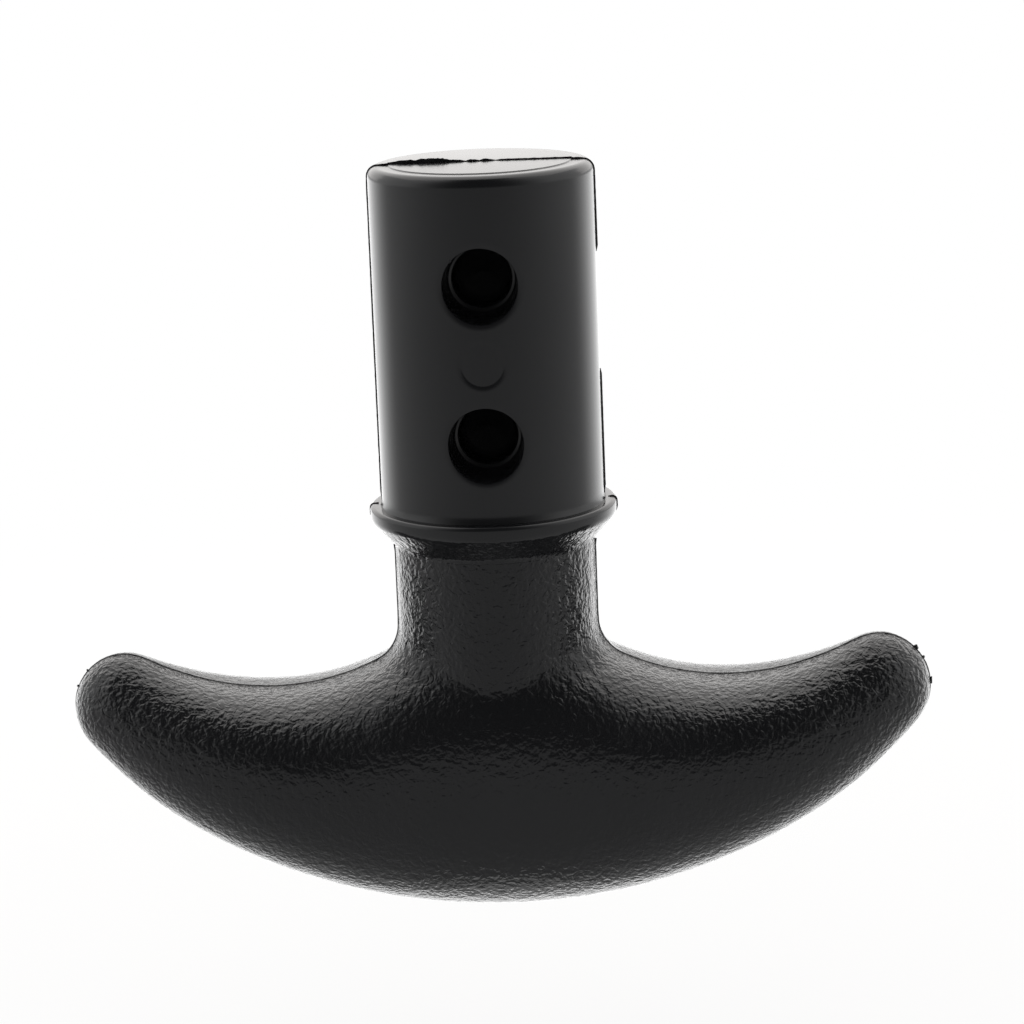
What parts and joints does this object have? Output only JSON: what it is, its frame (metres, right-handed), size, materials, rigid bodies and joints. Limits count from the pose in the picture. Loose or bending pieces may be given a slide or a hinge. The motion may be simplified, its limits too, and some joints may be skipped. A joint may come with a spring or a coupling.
{
  "type": "paddle t-grip",
  "caption": "Moulded black plastic T-grip: a cylindrical plug with blind cross holes, a collar, a short neck and an upturned crescent palm bar.",
  "frame": {"origin": "on the plug's axis at the collar's seat, where the shaft tube ends", "axes": "+Z out along the plug, X along the crescent, -Y the front face seen in the picture"},
  "size_m": [0.101, 0.0286, 0.0886],
  "materials": {
    "grip_plastic": "near-black polymer: smooth satin plug and collar, fine leather grain on the neck and the crescent"
  },
  "bodies": {
    "root": {"t_grip": "grip_plastic"}
  },
  "joints": []
}
